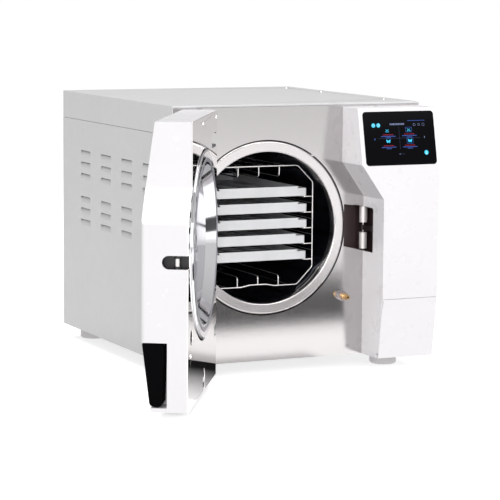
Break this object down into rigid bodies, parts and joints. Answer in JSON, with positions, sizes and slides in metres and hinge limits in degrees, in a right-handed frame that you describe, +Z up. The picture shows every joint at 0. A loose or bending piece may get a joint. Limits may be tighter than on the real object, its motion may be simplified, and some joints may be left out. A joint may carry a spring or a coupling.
{
  "type": "benchtop autoclave",
  "caption": "Benchtop steam steriliser with a side-hinged chamber door, door hook, sliding wire rack and trays, sloping touch screen and service flap.",
  "frame": {"origin": "on the bench, under the middle of the casing", "axes": "+Z up, -Y out of the front where the door is, +X to the user's right at the control side"},
  "size_m": [0.6085, 0.803, 0.4426],
  "materials": {
    "white_paint": "satin",
    "white_plastic": "satin",
    "door_face_paint": "satin",
    "brushed_steel": "brushed",
    "polished_steel": "polished",
    "chamber_steel": "satin",
    "wire_steel": "polished",
    "aluminium": "satin",
    "brass": "machined",
    "black_plastic": "matte",
    "dark_steel": "blackened",
    "foot_rubber": "matte",
    "silicone": "smooth",
    "screen_glass": "gloss",
    "insulation": "felt",
    "tank_plastic": "translucent",
    "board_green": "solder mask"
  },
  "bodies": {
    "cabinet": {"base_pan": "white_paint", "left_side_panel": "white_paint", "right_side_panel": "white_paint", "top_cover": "white_paint", "rear_panel": "white_paint", "front_panel": "brushed_steel", "feet": "foot_rubber", "casing_screws": "polished_steel", "chamber_flange": "polished_steel", "pressure_chamber": "chamber_steel", "heater_bands": "dark_steel", "chamber_insulation": "insulation", "chamber_cradles": "brushed_steel", "safety_valve": "polished_steel", "nipple_nut": "polished_steel", "drain_nipple": "brass", "control_housing": "white_plastic", "screen_glass": "screen_glass", "display_module": "black_plastic", "flap_rod": "polished_steel", "service_plate": "brushed_steel", "drain_valves": "brass", "air_filter": "black_plastic", "lock_pocket": "black_plastic", "lock_shaft": "polished_steel", "lock_sleeves": "polished_steel", "lock_actuator": "dark_steel", "steam_generator": "chamber_steel", "vacuum_pump": "dark_steel", "pump_and_valves": "aluminium", "water_tanks": "tank_plastic", "condenser": "aluminium", "fan_frame": "black_plastic", "power_and_control": "board_green", "mains_inlet": "black_plastic", "switch_frame": "black_plastic", "hinge_brackets": "brushed_steel", "hinge_pins": "polished_steel"},
    "door": {"door_cover": "white_plastic", "door_inner_plate": "door_face_paint", "door_screws": "polished_steel", "door_disc": "polished_steel", "door_gasket": "silicone", "door_chassis": "brushed_steel", "catch_liner": "black_plastic", "catch_pin": "polished_steel", "handle_insert": "black_plastic", "door_hinge_arms": "brushed_steel"},
    "rack": {"rack_frames": "wire_steel", "rack_side_rails": "wire_steel", "rack_cross_rails": "wire_steel"},
    "tray_1_body": {"tray_1": "aluminium"},
    "tray_2_body": {"tray_2": "aluminium"},
    "tray_3_body": {"tray_3": "aluminium"},
    "tray_4_body": {"tray_4": "aluminium"},
    "tray_5_body": {"tray_5": "aluminium"},
    "hook": {"lock_hook": "dark_steel"},
    "flap": {"service_flap": "white_plastic"},
    "rocker": {"power_rocker": "black_plastic"},
    "fan": {"fan_rotor": "black_plastic"}
  },
  "joints": [
    {"name": "door_hinge", "type": "hinge", "parent": "cabinet", "child": "door", "pos_m": [-0.1902, -0.2772, 0.241], "axis": [0, 0, 1], "range_deg": [0, 121.6]},
    {"name": "rack_slide", "type": "slide", "parent": "cabinet", "child": "rack", "axis": [0, 1, 0], "range_m": [-0.29, 0]},
    {"name": "tray_1_slide", "type": "slide", "parent": "rack", "child": "tray_1_body", "axis": [0, 1, 0], "range_m": [-0.25, 0]},
    {"name": "tray_2_slide", "type": "slide", "parent": "rack", "child": "tray_2_body", "axis": [0, 1, 0], "range_m": [-0.25, 0]},
    {"name": "tray_3_slide", "type": "slide", "parent": "rack", "child": "tray_3_body", "axis": [0, 1, 0], "range_m": [-0.25, 0]},
    {"name": "tray_4_slide", "type": "slide", "parent": "rack", "child": "tray_4_body", "axis": [0, 1, 0], "range_m": [-0.25, 0]},
    {"name": "tray_5_slide", "type": "slide", "parent": "rack", "child": "tray_5_body", "axis": [0, 1, 0], "range_m": [-0.25, 0]},
    {"name": "lock_hook_turn", "type": "hinge", "parent": "cabinet", "child": "hook", "pos_m": [0.124, -0.2385, 0.23425], "axis": [0, 0, -1], "range_deg": [0, 23]},
    {"name": "service_flap_hinge", "type": "hinge", "parent": "cabinet", "child": "flap", "pos_m": [0.1715, -0.297, 0.0274], "axis": [1, 0, 0], "range_deg": [0, 80]},
    {"name": "power_rocker_turn", "type": "hinge", "parent": "cabinet", "child": "rocker", "pos_m": [0.17, 0.239, 0.159], "axis": [1, 0, 0], "range_deg": [0, 16]},
    {"name": "fan_spin", "type": "hinge", "parent": "cabinet", "child": "fan", "pos_m": [0.15, 0.229, 0.324], "axis": [0, 1, 0], "continuous": true}
  ]
}
